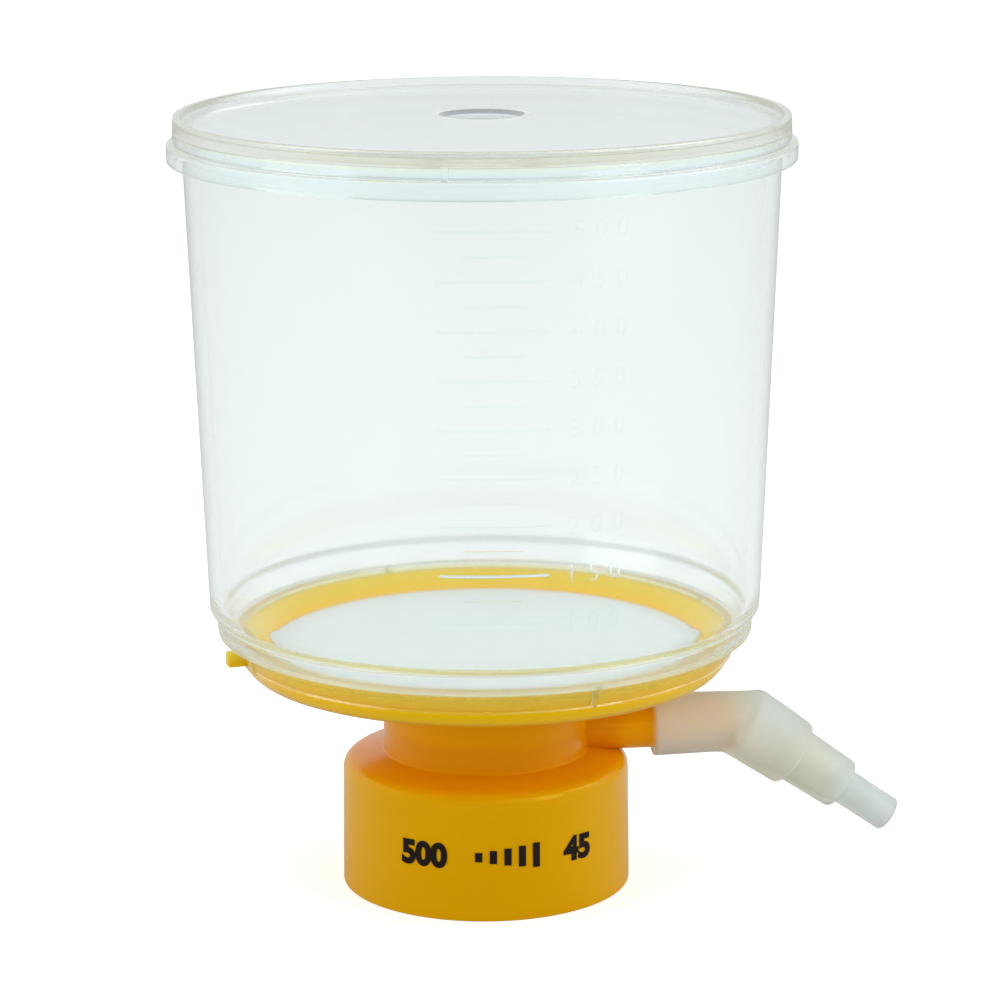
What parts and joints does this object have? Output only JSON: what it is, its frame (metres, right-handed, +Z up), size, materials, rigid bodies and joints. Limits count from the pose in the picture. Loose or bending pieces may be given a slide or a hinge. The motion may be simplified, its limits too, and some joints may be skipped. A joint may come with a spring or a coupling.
{
  "type": "bottle-top vacuum filter",
  "caption": "Clear filter cup with a lift-off lid, welded to a yellow base that holds a round membrane, a screw collar for a bottle and a side vacuum port with a swivelling elbow.",
  "frame": {"origin": "centre of the screw collar's open foot, on the bottle's axis", "axes": "+Z up the unit's axis towards the lid, +X out along the vacuum port"},
  "size_m": [0.1226, 0.1028, 0.1306],
  "materials": {
    "yellow_plastic": "semi-gloss moulded polystyrene",
    "clear_plastic": "clear glossy moulded polystyrene",
    "filter_membrane": "matt white porous film",
    "seal_rubber": "smooth silicone rubber",
    "cotton": "pressed cotton fibre",
    "frosted_plastic": "frosted translucent polypropylene"
  },
  "bodies": {
    "filter": {"base": "yellow_plastic", "membrane": "filter_membrane", "cup": "clear_plastic", "lid": "clear_plastic", "bottle_seal": "seal_rubber", "port_plug": "cotton"},
    "connector": {"hose_connector": "frosted_plastic"}
  },
  "joints": [
    {"name": "connector_swivel", "type": "hinge", "parent": "filter", "child": "connector", "pos_m": [0, 0, 0.0255], "axis": [1, 0, 0], "continuous": true}
  ]
}
